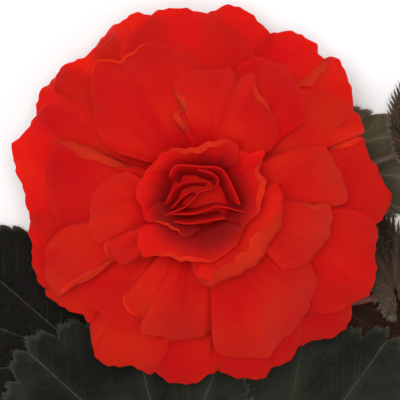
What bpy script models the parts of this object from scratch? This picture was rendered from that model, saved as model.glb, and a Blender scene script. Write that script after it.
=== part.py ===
"""A picked begonia shoot lying on a surface: one double bloom facing up, its stem and its dark leaves.

The bloom's axis is first at x = y = 0, and the whole shoot is then moved so that the middle of its
footprint is at the origin. Lengths in the tables are millimetres and angles are degrees, anticlockwise
from +X as seen from above.
"""

import math
import random
from collections import namedtuple

import bmesh
import bpy
from mathutils import Vector

MM = 0.001
GAP = 0.35  # clear space between neighbouring pieces
SEED = 41
SLIVER = 0.00005  # joining leaves edges shorter than this, in metres, which are closed up
SLIVER_HEIGHT = 0.00001  # and triangles flatter than this
SLIVER_PASSES = 4

# Bloom
BACK_HEIGHT = 18.0  # underside of the outermost rims above the surface
BACK_ARCH = 6.0  # how far the back petals rise between the receptacle and their rims
ARCH_RADIUS = 26.0
BLOOM_REACH = 57.0
BOWL_DEPTH = 30.0  # height of the innermost bowl over the back petals
BOWL_RADIUS = 11.0
BOWL_POWER = 1.4
LEVELS = 15.0  # level of the innermost petals; a higher level lies in front
ROOT_RADIUS = 12.4  # just inside the receptacle's wall
ROOT_HALF_WIDTH = 4.2
PETAL_THICKNESS = 0.8
PETAL_COLUMNS = 9
PETAL_ROWS = 5
RIM_DEPTH = 0.40  # share of a petal's reach that its rounded end takes
RIM_SWEEP = 102.0
RUFFLE = 0.8
SWELL = 1.1  # soft waves that run through all the petals alike
# Radius and height along the receptacle: up its outside, over its edge and down into the hollow of the eye
RECEPTACLE = [
    (5.0, 17.6), (10.5, 18.0), (13.4, 20.5), (14.0, 26.0), (14.3, 34.0), (14.3, 42.0), (13.4, 44.4),
    (11.8, 43.6), (10.9, 37.0), (8.0, 31.5),
]

Petal = namedtuple("Petal", "azimuth reach half_width level roll lip")

# azimuth, reach, half width, level, roll (one side up), lip (rim up or down)
PETALS = [
    # outermost, nearly flat
    Petal(80.5, 58.4, 17, 0, 0.0, 0.0),
    Petal(61.5, 56.0, 15, 1, 0.0, 0.0),
    Petal(45.0, 57.0, 15, 1.9, 0.0, 0.5),
    Petal(21.5, 54.5, 16, 3.3, 0.0, 0.6),
    Petal(-1.0, 57.0, 17, 1, 0.0, 0.0),
    Petal(-22.0, 57.0, 18, 2.5, 0.0, 0.5),
    Petal(-43.6, 59.0, 17, 0, 0.0, 0.0),
    Petal(-73.0, 57.5, 19, 2.0, 0.0, 0.0),
    Petal(-95.0, 58.0, 15, 0.9, 0.0, 0.0),
    Petal(-118.0, 57.5, 18, 2.9, 0.0, 0.5),
    Petal(-140.0, 54.5, 15, 1.9, 0.0, 0.0),
    Petal(-157.5, 55.0, 16, 0.9, 0.0, 0.0),
    Petal(172.0, 57.5, 16, 2.5, 0.0, 0.5),
    Petal(151.0, 56.5, 15, 1.5, 0.0, 0.0),
    Petal(137.0, 57.0, 15, 0.5, 0.0, 0.0),
    Petal(118.0, 57.4, 16, 3.8, 0.0, 0.5),
    Petal(98.7, 57.7, 17, 2.8, 0.0, 0.5),
    # middle
    Petal(137.0, 50.5, 14, 4.9, 0.0, 0.5),
    Petal(109.0, 48.0, 17, 6.0, 0.0, 0.5),
    Petal(-153.0, 50.0, 17, 4.2, 0.0, 0.5),
    Petal(56.0, 46.0, 17, 4.4, 0.0, 0.0),
    Petal(78.0, 39.0, 16, 7.5, 0.0, 0.6),
    Petal(178.0, 45.0, 17, 6.5, 0.0, 1.0),
    Petal(8.0, 44.5, 16, 6, 0.0, 0.8),
    Petal(-16.0, 40.5, 13, 8.5, 0.0, 1.0),
    Petal(-40.0, 47.0, 15, 4.8, 0.0, 0.0),
    Petal(-64.0, 51.0, 19, 7.8, 0.0, 0.6),
    Petal(-97.0, 43.5, 15, 6.6, 0.0, 0.8),
    Petal(-122.0, 42.0, 15, 5.4, 0.0, 0.5),
    Petal(-135.0, 37.0, 14, 7.8, 0.0, 0.5),
    Petal(150.0, 40.0, 15, 8.4, 0.0, 0.0),
    Petal(36.0, 36.0, 15, 9.6, 0.0, 0.0),
    # inner
    Petal(120.0, 33.0, 15, 9.5, 0.0, 0.0),
    Petal(190.0, 33.0, 14, 9.9, 0.0, 0.6),
    Petal(-78.0, 35.0, 14, 9.5, 0.0, 0.0),
    Petal(2.0, 31.0, 13, 10.6, 0.0, 0.4),
    Petal(-150.0, 29.0, 13, 11.3, 0.0, 0.6),
    Petal(84.0, 27.0, 14, 11.2, 0.0, 0.0),
    Petal(-48.0, 28.0, 16, 11.9, 0.0, 1.0),
    # ring round the eye
    Petal(-110.0, 21.0, 11, 13, 0.0, 0.6),
    Petal(158.0, 19.5, 11, 12.6, 0.0, 0.0),
    Petal(28.0, 20.5, 13, 13, 0.0, 0.6),
    Petal(95.0, 16.5, 10, 14, 0.0, 0.6),
    Petal(-160.0, 17.5, 10, 14.5, 0.0, 0.6),
]

# Folded petals that stand in the eye: height of the rim, then the line that the rim follows
EYE_FOLDS = [
    (44.5, [(-6.3, 8.2), (-0.9, 8.0), (4.2, 7.6), (8.4, 4.6), (11.0, -1.6)]),
    (43.5, [(-5.6, 6.2), (2.7, 5.2), (5.3, 3.0), (1.0, 0.9), (-3.0, 0.6), (-8.0, -3.2)]),
    (43.0, [(-10.6, -5.6), (-6.3, -5.2), (-3.3, -4.2), (0.6, -5.0), (5.1, -3.4), (10.6, -4.4)]),
    (41.5, [(-12.0, -7.8), (-7.6, -9.6), (-2.5, -10.4), (3.0, -9.4)]),
]
EYE_FLOOR = 27.0
EYE_LEAN = 0.86  # the folds' feet are nearer the axis than their rims

# Stem, flower stalk and leaf stalks: points along each, with the radius there
STEM_SIDES = 12
STALK_SIDES = 7
STEMS = {
    "main": [
        (14, -146, 3.9, 4.6), (10, -128, 3.9, 4.5), (5, -108, 3.9, 4.7), (2, -92, 3.7, 4.2),
        (0.5, -70, 3.6, 4.1), (0, -48, 3.5, 4.0), (0, -30, 3.5, 3.9), (0.2, -17, 4.4, 3.7),
        (0.2, -7, 7.4, 3.5), (0, -1.0, 12.0, 3.7), (0, 0, 16.7, 4.3),
    ],
    "lower_left": [(4, -105, 4.4, 2.6), (-1, -101, 6.0, 2.3), (-6, -95, 6.3, 2.0), (-9, -88.5, 6.2, 1.8)],
    "lower_right": [(5, -112, 4.4, 2.6), (12, -108, 5.6, 2.3), (19, -101, 5.9, 2.0), (22, -93.5, 5.4, 1.8)],
    "left": [(0, -60, 3.4, 2.4), (-10, -60, 2.8, 2.0), (-21, -56, 2.3, 1.7), (-31, -52.0, 2.3, 1.5)],
    "right": [(0, -47, 3.4, 2.4), (12, -36, 2.8, 2.0), (25, -28, 1.9, 1.6), (36, -30.8, 1.9, 1.3)],
    "upper_right": [(0, -32, 3.4, 2.4), (3, -14, 2.6, 2.0), (5, 5, 2.2, 1.6), (13, 8.8, 2.1, 1.3)],
    "young_upper": [(0.5, -20, 4.4, 1.9), (14, -9, 8.2, 1.5), (38, 4, 9.2, 1.3), (63, 13.5, 9.4, 1.1)],
    "young_right": [(0, -40, 3.6, 1.9), (20, -36, 6.2, 1.5), (42, -33, 8.2, 1.4), (58, -30, 9.2, 1.1)],
}

# Leaves: the stalk's end, way the tip points, length from there to the tip, width of each side, number and
# depth of the teeth, height of the drooping margin, wave of the margin, height over the main stem, fold
LEAF_THICKNESS = 0.7
LEAF_ROWS = 4
SINUS = 150.0  # the blade runs this far round from its tip, leaving a notch for the stalk
BACK_LOBE = 0.30
LOBE_POWER = 1.1
TIP_POINT = 0.07
TIP_WIDTH = 9.0
Leaf = namedtuple("Leaf", "base heading length left_side right_side teeth tooth droop_to wave over_stem fold")
LEAVES = {
    "leaf_lower_left": Leaf((-9, -87, 9.6), 138, 57, 0.90, 0.98, 15, 0.055, 7.2, 0.7, 11.0, 0.0),
    "leaf_lower_right": Leaf((22, -92, 8.2), 54, 57, 0.70, 0.90, 15, 0.055, 5.6, 0.4, 9.0, 0.0),
    "leaf_left": Leaf((-32, -51.5, 4.7), 160, 78, 0.62, 0.56, 15, 0.055, 0.45, 0.5, 0.0, 0.0),
    "leaf_right": Leaf((37, -31, 4.7), -14, 56, 0.48, 0.50, 12, 0.055, 0.45, 0.5, 0.0, 0.0),
    "leaf_upper_right": Leaf((14, 9, 5.2), -4, 68, 0.42, 0.30, 15, 0.055, 0.45, 0.5, 0.0, 0.0),
    "young_leaf_upper": Leaf((64, 14, 11.2), 100, 17, 0.46, 0.46, 7, 0.09, 9.6, 0.3, 0.0, 0.55),
    "young_leaf_right": Leaf((59, -29.5, 11.0), 104, 24, 0.42, 0.42, 7, 0.09, 9.4, 0.3, 0.0, 0.55),
}
HUMP_WIDTH = 15.0
COLUMNS_PER_TOOTH = 2

COLOURS = {
    "bloom": (0.62, 0.012, 0.008),
    "stem": (0.16, 0.055, 0.03),
    "leaf": (0.017, 0.020, 0.012),
    "young_leaf": (0.035, 0.018, 0.012),
}


def clear_scene():
    for old in list(bpy.data.objects):
        bpy.data.objects.remove(old, do_unlink=True)


def material(name, roughness=0.5):
    made = bpy.data.materials.new(name)
    made.use_nodes = True
    shader = made.node_tree.nodes["Principled BSDF"]
    shader.inputs["Base Color"].default_value = (*COLOURS[name], 1.0)
    shader.inputs["Roughness"].default_value = roughness
    shader.inputs["Metallic"].default_value = 0.0
    return made


def new_object(name, points, triangles, look):
    """A mesh object from points in millimetres."""
    mesh = bpy.data.meshes.new(name)
    mesh.from_pydata([tuple(MM * c for c in p) for p in points], [], triangles)
    mesh.update()
    mesh.shade_smooth()
    mesh.materials.append(look)
    made = bpy.data.objects.new(name, mesh)
    bpy.context.scene.collection.objects.link(made)
    return made


def face_outwards(target):
    work = bmesh.new()
    work.from_mesh(target.data)
    bmesh.ops.recalc_face_normals(work, faces=work.faces)
    work.to_mesh(target.data)
    work.free()


def sheet_solid(rows, thickness):
    """Points and triangles of a closed sheet: rows of points from root to rim, thickened along the normals."""
    last_row, last_column = len(rows) - 1, len(rows[0]) - 1

    def normal(i, j):
        along = rows[min(i + 1, last_row)][j] - rows[max(i - 1, 0)][j]
        across = rows[i][min(j + 1, last_column)] - rows[i][max(j - 1, 0)]
        facing = along.cross(across)
        if facing.length < 1e-9:
            return Vector((0, 0, 1))
        facing.normalize()
        return facing if facing.z >= 0 else -facing

    columns = last_column + 1
    half = 0.5 * thickness
    normals = [[normal(i, j) for j in range(columns)] for i in range(len(rows))]
    upper = [rows[i][j] + half * normals[i][j] for i in range(len(rows)) for j in range(columns)]
    lower = [rows[i][j] - half * normals[i][j] for i in range(len(rows)) for j in range(columns)]
    shift = len(upper)
    triangles = []
    for i in range(last_row):
        for j in range(last_column):
            a, b = i * columns + j, i * columns + j + 1
            c, d = b + columns, a + columns
            for one, two, three in ((a, b, c), (a, c, d)):
                triangles.append((one, two, three))
                triangles.append((shift + one, shift + three, shift + two))
    rim = [j for j in range(columns)]
    rim += [i * columns + last_column for i in range(1, len(rows))]
    rim += [last_row * columns + j for j in range(last_column - 1, -1, -1)]
    rim += [i * columns for i in range(last_row - 1, 0, -1)]
    for a, b in zip(rim, rim[1:] + rim[:1]):
        triangles.append((a, shift + a, shift + b))
        triangles.append((a, shift + b, b))
    return upper + lower, triangles


def turn_long_edges(work):
    """Turns the long edge of every triangle that is next to flat, where joining has left such slivers."""
    for _ in range(SLIVER_PASSES):
        slivers = []
        for face in work.faces:
            longest = max(face.edges, key=lambda edge: edge.calc_length())
            if 2 * face.calc_area() < SLIVER_HEIGHT * longest.calc_length():
                slivers.append(longest)
        for edge in set(slivers):
            if edge.is_valid:
                bmesh.ops.rotate_edges(work, edges=[edge], use_ccw=False)


def keep_main_body(mesh):
    """Fills hollows that joining has sealed, and drops loose scraps: only the largest shell stays."""
    work = bmesh.new()
    work.from_mesh(mesh)
    bmesh.ops.triangulate(work, faces=work.faces)
    bmesh.ops.dissolve_degenerate(work, edges=work.edges, dist=SLIVER)
    bmesh.ops.triangulate(work, faces=work.faces)
    turn_long_edges(work)
    unseen = set(work.faces)
    shells = []
    while unseen:
        queue = [unseen.pop()]
        shell = list(queue)
        while queue:
            for edge in queue.pop().edges:
                for face in edge.link_faces:
                    if face in unseen:
                        unseen.remove(face)
                        queue.append(face)
                        shell.append(face)
        shells.append(shell)
    shells.sort(key=len)
    for shell in shells[:-1]:
        bmesh.ops.delete(work, geom=shell, context="FACES")
    work.to_mesh(mesh)
    work.free()


def fused(name, pieces, look):
    """One body from several that overlap: all but the first are joined to it and then removed."""
    others = bpy.data.collections.new(name + "_pieces")
    bpy.context.scene.collection.children.link(others)
    body = pieces[0]
    for piece in pieces[1:]:
        bpy.context.scene.collection.objects.unlink(piece)
        others.objects.link(piece)
    union = body.modifiers.new("Union", "BOOLEAN")
    union.operation = "UNION"
    union.operand_type = "COLLECTION"
    union.collection = others
    union.solver = "MANIFOLD"
    graph = bpy.context.evaluated_depsgraph_get()
    joined = bpy.data.meshes.new_from_object(body.evaluated_get(graph), depsgraph=graph)
    body.modifiers.remove(union)
    body.data = joined
    body.name = name
    joined.name = name
    for piece in list(others.objects):
        bpy.data.objects.remove(piece, do_unlink=True)
    bpy.data.collections.remove(others)
    keep_main_body(joined)
    joined.materials.clear()
    joined.materials.append(look)
    return body


def back_height(radius):
    return BACK_HEIGHT + BACK_ARCH * (1 - ((radius - ARCH_RADIUS) / (BLOOM_REACH - ARCH_RADIUS)) ** 2)


def bowl_height(radius, level):
    """Height of a petal's middle surface: the bowls lie one in another, and never cross."""
    rise = BOWL_DEPTH * (1 - math.exp(-((radius / BOWL_RADIUS) ** BOWL_POWER)))
    return back_height(radius) + level / LEVELS * rise


def swell(x, y):
    """Soft waves shared by all the petals, so that they ripple together without touching."""
    radius = math.hypot(x, y)
    turn = math.atan2(y, x)
    waves = math.sin(7 * turn + 0.08 * radius) + 0.7 * math.sin(11 * turn - 0.11 * radius + 1.3)
    waves += 0.6 * math.sin(0.19 * x + 0.11 * y + 0.4)
    return SWELL * waves * min(radius / BLOOM_REACH, 1.0) ** 1.5


def petal_rim(petal, across):
    """Rim of a petal before it is turned to its azimuth, from one side (-1) to the other (1)."""
    depth = RIM_DEPTH * petal.reach
    turn = math.radians(RIM_SWEEP) * across
    squareness = 2.0 / 2.3
    along = math.copysign(abs(math.cos(turn)) ** squareness, math.cos(turn))
    side = math.copysign(abs(math.sin(turn)) ** squareness, math.sin(turn))
    return petal.reach - depth + depth * along, petal.half_width * side


def petal_point(petal, phase, out, across):
    """A point of a petal's middle surface; out runs from its root (0) to its rim (1)."""
    rim_x, rim_y = petal_rim(petal, across)
    notch = 1 + 0.012 * math.sin(9 * across + phase) + 0.010 * math.sin(15 * across + 2.1 * phase)
    along = ROOT_RADIUS + out * (rim_x * notch - ROOT_RADIUS)
    side = across * ROOT_HALF_WIDTH + out * (rim_y * notch - across * ROOT_HALF_WIDTH)
    turn = math.radians(petal.azimuth)
    x = along * math.cos(turn) - side * math.sin(turn)
    y = along * math.sin(turn) + side * math.cos(turn)
    height = bowl_height(math.hypot(x, y), petal.level) + swell(x, y)
    height += petal.roll * across * out
    height += petal.lip * out**6
    height += RUFFLE * petal.half_width / 18 * out**5 * math.sin(7.5 * across + phase)
    return Vector((x, y, height))


def petal_piece(number, petal, draw, look):
    phase = draw.uniform(0, 2 * math.pi)
    rows = []
    for i in range(PETAL_ROWS):
        out = (i / (PETAL_ROWS - 1)) ** 0.8
        rows.append(
            [petal_point(petal, phase, out, 2 * j / (PETAL_COLUMNS - 1) - 1) for j in range(PETAL_COLUMNS)]
        )
    points, triangles = sheet_solid(rows, PETAL_THICKNESS)
    piece = new_object(f"petal_{number}", points, triangles, look)
    face_outwards(piece)
    return piece


def smooth_line(points, steps):
    """Points along a smooth curve through the given ones; each may have any number of values."""
    ends = [points[0], *points, points[-1]]
    line = []
    for k in range(len(points) - 1):
        before, start, end, after = ends[k : k + 4]
        for step in range(steps):
            t = step / steps
            line.append(
                tuple(
                    0.5 * (2 * b + (c - a) * t + (2 * a - 5 * b + 4 * c - d) * t**2 + (3 * b - a - 3 * c + d) * t**3)
                    for a, b, c, d in zip(before, start, end, after)
                )
            )
    line.append(tuple(points[-1]))
    return line


def eye_fold_piece(number, height, line, look):
    """A thin folded petal that stands on edge, its rim along the line."""
    rim = smooth_line(line, 3)
    rows = []
    for level in (0.0, 0.5, 1.0):
        lean = EYE_LEAN + (1 - EYE_LEAN) * level
        rise = EYE_FLOOR + (height - EYE_FLOOR) * level
        rows.append([Vector((lean * x, lean * y, rise)) for x, y in rim])
    points, triangles = sheet_solid(rows, PETAL_THICKNESS)
    piece = new_object(f"eye_fold_{number}", points, triangles, look)
    face_outwards(piece)
    return piece


def turned_solid(name, profile, sides, look):
    """A closed solid turned round the bloom's axis from its radii and heights, bottom first."""
    points = [(0, 0, profile[0][1])]
    for radius, height in profile:
        for k in range(sides):
            turn = 2 * math.pi * k / sides
            points.append((radius * math.cos(turn), radius * math.sin(turn), height))
    points.append((0, 0, profile[-1][1]))
    triangles = []
    for k in range(sides):
        after = (k + 1) % sides
        triangles.append((0, 1 + after, 1 + k))
        top = 1 + sides * (len(profile) - 1)
        triangles.append((len(points) - 1, top + k, top + after))
        for i in range(len(profile) - 1):
            a, b = 1 + sides * i + k, 1 + sides * i + after
            triangles.append((a, b, b + sides))
            triangles.append((a, b + sides, a + sides))
    return new_object(name, points, triangles, look)


def make_bloom():
    look = material("bloom", 0.42)
    draw = random.Random(SEED)
    pieces = [turned_solid("bloom", RECEPTACLE, 20, look)]
    for number, petal in enumerate(PETALS):
        pieces.append(petal_piece(number, petal, draw, look))
    for number, (height, line) in enumerate(EYE_FOLDS):
        pieces.append(eye_fold_piece(number, height, line, look))
    return fused("bloom", pieces, look)


def tube_piece(name, route, sides, look):
    """A round stalk along its route, with flat ends, pressed flat where it meets the surface."""
    line = smooth_line(route, 2)
    points = []
    for k, (x, y, z, radius) in enumerate(line):
        ahead = Vector(line[min(k + 1, len(line) - 1)][:3]) - Vector(line[max(k - 1, 0)][:3])
        ahead.normalize()
        side = ahead.cross(Vector((0, 0, 1)))
        if side.length < 0.2:
            side = Vector((1, 0, 0)) - ahead * ahead.x
        side.normalize()
        up = side.cross(ahead)
        for n in range(sides):
            turn = 2 * math.pi * (n + 0.5) / sides
            point = Vector((x, y, z)) + radius * (math.cos(turn) * side + math.sin(turn) * up)
            points.append(Vector((point.x, point.y, max(point.z, 0.0))))
    triangles = []
    for k in range(len(line) - 1):
        for n in range(sides):
            a, b = k * sides + n, k * sides + (n + 1) % sides
            triangles.append((a, b, b + sides))
            triangles.append((a, b + sides, a + sides))
    last = (len(line) - 1) * sides
    for n in range(1, sides - 1):
        triangles.append((0, n + 1, n))
        triangles.append((last, last + n, last + n + 1))
    piece = new_object(name, points, triangles, look)
    face_outwards(piece)
    return piece


def make_stem():
    look = material("stem", 0.4)
    pieces = [tube_piece("stem_main", STEMS["main"], STEM_SIDES, look)]
    for name, route in STEMS.items():
        if name != "main":
            pieces.append(tube_piece("stalk_" + name, route, STALK_SIDES, look))
    return fused("stem", pieces, look)


def stem_line_x(y):
    """Where the main stem runs at this y."""
    route = STEMS["main"]
    for (x0, y0, _, _), (x1, y1, _, _) in zip(route, route[1:]):
        if y0 <= y <= y1:
            return x0 + (x1 - x0) * (y - y0) / (y1 - y0)
    return route[0][0] if y < route[0][1] else route[-1][0]


def leaf_reach(leaf, turn):
    """Distance from the stalk to the margin, for an angle from the way that the tip points."""
    round_part = BACK_LOBE + (1 - BACK_LOBE) * ((1 + math.cos(turn)) / 2) ** LOBE_POWER
    tip = TIP_POINT * math.exp(-((math.degrees(turn) / TIP_WIDTH) ** 2))
    return leaf.length * (round_part + tip)


def leaf_point(leaf, out, across, tooth):
    """A point of the blade; across runs from one side of the notch (-1) round the tip to the other (1)."""
    turn = math.radians(SINUS) * across
    reach = leaf_reach(leaf, turn) * (1 + tooth * leaf.tooth * out**8)
    start = 1.2
    spread = start + out * (reach - start)
    wide = leaf.left_side if across > 0 else leaf.right_side
    along, side = spread * math.cos(turn), spread * math.sin(turn) * wide
    heading = math.radians(leaf.heading)
    x = leaf.base[0] + along * math.cos(heading) - side * math.sin(heading)
    y = leaf.base[1] + along * math.sin(heading) + side * math.cos(heading)
    share = min(math.hypot(along, side) / leaf.length, 1.0)
    height = leaf.droop_to + (leaf.base[2] - leaf.droop_to) * (1 - share) ** 1.3
    height += leaf.wave * (1 + math.sin(8.0 * across + leaf.heading)) * out**3
    height += leaf.fold * abs(side)
    if leaf.over_stem:
        hump = leaf.over_stem * math.exp(-(((x - stem_line_x(y)) / HUMP_WIDTH) ** 2))
        height = (height**6 + hump**6) ** (1 / 6)
    return Vector((x, y, height))


def make_leaf(name, leaf, look):
    columns = leaf.teeth * 2 * COLUMNS_PER_TOOTH + 1
    rows = []
    for i in range(LEAF_ROWS):
        out = (i / (LEAF_ROWS - 1)) ** 0.75
        row = []
        for j in range(columns):
            tooth = 1.0 if j % COLUMNS_PER_TOOTH else -1.0
            row.append(leaf_point(leaf, out, 2 * j / (columns - 1) - 1, tooth))
        rows.append(row)
    points, triangles = sheet_solid(rows, LEAF_THICKNESS)
    made = new_object(name, points, triangles, look)
    face_outwards(made)
    return made


def make_leaves():
    dark = material("leaf", 0.55)
    young = material("young_leaf", 0.6)
    return [make_leaf(name, leaf, young if "young" in name else dark) for name, leaf in LEAVES.items()]


def centre_footprint(made):
    """Moves the shoot so that the middle of its footprint is at the origin, with its underside at z = 0."""
    corners = [v.co for piece in made for v in piece.data.vertices]
    low = Vector([min(c[k] for c in corners) for k in range(3)])
    high = Vector([max(c[k] for c in corners) for k in range(3)])
    shift = Vector((-(low.x + high.x) / 2, -(low.y + high.y) / 2, -low.z))
    for piece in made:
        for vertex in piece.data.vertices:
            vertex.co += shift
        piece.data.update()
    print("bloom axis in the part's frame, mm:", [round(c / MM, 3) for c in shift])
    print("size, mm:", [round(c / MM, 2) for c in high - low])


def main():
    clear_scene()
    made = [make_bloom(), make_stem(), *make_leaves()]
    centre_footprint(made)


main()
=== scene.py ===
import math
import random
from collections import namedtuple

import bpy
import numpy as np
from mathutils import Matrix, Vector


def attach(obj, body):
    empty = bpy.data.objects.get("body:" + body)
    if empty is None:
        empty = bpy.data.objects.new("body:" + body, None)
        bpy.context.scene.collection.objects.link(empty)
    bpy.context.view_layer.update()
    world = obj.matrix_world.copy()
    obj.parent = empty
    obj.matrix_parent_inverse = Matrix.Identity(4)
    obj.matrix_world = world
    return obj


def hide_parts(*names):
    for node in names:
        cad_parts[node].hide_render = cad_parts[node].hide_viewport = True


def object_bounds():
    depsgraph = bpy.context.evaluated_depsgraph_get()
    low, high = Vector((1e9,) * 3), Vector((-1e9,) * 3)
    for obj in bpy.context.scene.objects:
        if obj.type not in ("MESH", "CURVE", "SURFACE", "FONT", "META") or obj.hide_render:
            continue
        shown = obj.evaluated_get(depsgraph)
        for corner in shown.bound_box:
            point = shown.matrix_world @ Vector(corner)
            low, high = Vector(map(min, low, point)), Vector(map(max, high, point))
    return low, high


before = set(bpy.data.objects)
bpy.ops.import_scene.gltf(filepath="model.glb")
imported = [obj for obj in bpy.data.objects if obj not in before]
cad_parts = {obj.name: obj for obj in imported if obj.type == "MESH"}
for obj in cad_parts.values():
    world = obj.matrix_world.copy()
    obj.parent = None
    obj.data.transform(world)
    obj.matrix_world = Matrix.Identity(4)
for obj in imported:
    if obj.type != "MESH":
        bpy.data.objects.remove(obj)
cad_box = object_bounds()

MM = 0.001
SEED = 41
TINY = 1e-9  # keeps nought out of a division
GRID_END = 1.001  # a place this far from the end of a grid still has a neighbour

# Where the bloom's axis stands in the frame, in millimetres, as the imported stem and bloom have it.
# Places below are in millimetres from there, and so is the part's box.
AXIS_X, AXIS_Y = 8.69, 44.656
BOX_LOW, BOX_HIGH = np.array(cad_box) / MM - (AXIS_X, AXIS_Y, 0.0)
HAIR_MARGIN = 0.1  # hairs keep this far inside that box
STEM_MARGIN = 0.02

# Bloom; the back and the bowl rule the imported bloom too
BACK_HEIGHT = 18.0
BACK_ARCH = 6.0
ARCH_RADIUS = 26.0
BLOOM_REACH = 57.0
BOWL_DEPTH = 30.0
BOWL_RADIUS = 11.0
BOWL_POWER = 1.4
LEVELS = 15.0  # level of the innermost petals; a higher level lies in front

# Waves that all the petals share
SWELL = 1.1
SWELL_POWER = 1.5
ROUND_WAVES = [(1, 7, 0.08, 0), (0.7, 11, -0.11, 1.3)]  # share, waves to a turn, radians to a mm out, start
SLANTED_WAVE = (0.6, 0.19, 0.11, 0.4)  # share, radians to a mm along x and along y, start

# One petal's sheet: out runs from 0 at its root to 1 at its rim, across from -1 to 1 over its width,
# and its own phase, drawn at random, shifts its waves by so many times itself
OUTER_ROOT = 12.4  # radius at which the lowest petals spring from the receptacle
INNER_ROOT = 6.5
ROOT_LEVELS = (7.0, 13.5)  # levels over which the roots draw in
ROOT_HALF_TURN = 20.0  # degrees
PETAL_THICKNESS = 0.5
RIM_THICKNESS = 0.26
THINNING_POWER = 6
COLUMNS = 64
ROWS = 40
ROW_POWER = 1.4  # rows stand closer together towards the rim
RIM_STEPS = 12
NOTCHES = [(0.3, 9.1, 1), (0.2, 4.7, 2.1), (0.1, 2.9, 3.3)]  # depth, length, phase
NOTCH_INSET = 0.3
RIM_WAVES = [(1, 3, 17, 0), (0.4, 8, 6.3, 0.8)]  # share of petal.wave, power of out, length, start
Wave = namedtuple("Wave", "height turn phase")
BUCKLE = Wave(0.35, 9.0, 2.7)
PLEAT = Wave(0.10, 31.0, 5.1)  # the fine pleats that fan out over a petal
PLEAT_POWER = 8
PLEAT_SWAY = 2
PLEAT_SWAY_TURN = 4.0
LINE_PHASE = 3  # for the fine lines that a petal's look draws

# How a petal lies on the ones below it
CLEARANCE = 0.5
CONTACT = 2.2  # the higher, the more sharply a petal follows what it lies on
REST_SHARE = 0.9  # how far a rim comes down towards the petal below it
RING_REST_SHARE = 0.15  # the same round the eye, where the rims stand free
REST_LEVELS = (9.0, 12.2)
REST_POWER = 2.2
BARE_HEIGHT = 0.6 * BACK_HEIGHT  # where the stack is lower than this, no petal is below
BARE_GAP = 0.5
GAP_ROUNDS = 30
STACK_HALF = 64.0
STACK_STEP = 0.5
STACK_SHARES = (0.0, 0.34, 0.67)  # places between a sheet's points at which its height is noted
STACK_GROWTH = 3
STACK_ROUNDS = 14

# Rims that fold back
FOLD_ROWS = 10
FOLD_RADIUS = 0.42
FOLD_TAPER = 0.7
FOLD_SLOPE = 0.12
FOLD_CLEARANCE = 0.4
FOLD_BLEND_ROWS = 4
FOLD_START = 1e-3  # less of a fold than this is none
RAGGED = 0.15
RAGGED_TURN = 40
RIM_OVERRUN = 0.2
HEADING_ROUNDS = 3

# How much painted shade the eye and the petals round it take, and the petals' painted highlight
RING_LEVELS = (9.5, 12.0)  # petals take more painted shade from the first of these levels to the second
# painted shade on a ring petal away from the eye, full at the eye; then painted shade on the receptacle
RING_SHADE = 0.30
HEART_SHADE = 0.15
EYE_SHADE_BAND = (11.5, 17.5)  # distances from the eye's centre over which that painted shade fades
EYE_CENTRE_Y = -2.6
HIGHLIGHT_BAND = (0.25, 0.95)  # a petal's painted highlight sets in over this stretch of out
# the painted highlight fades by this share towards a petal's sides
SIDE_HIGHLIGHT_FADE = 0.35

# a petal's painted light runs from 1, an orange painted highlight, to -1, painted shade as dark as the
# eye's
Petal = namedtuple("Petal", "level wave warmth rolls rim")
# where the rim folds back over the petal, along it from 0 to 1, and how wide the fold is
Roll = namedtuple("Roll", "start end width")

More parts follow.
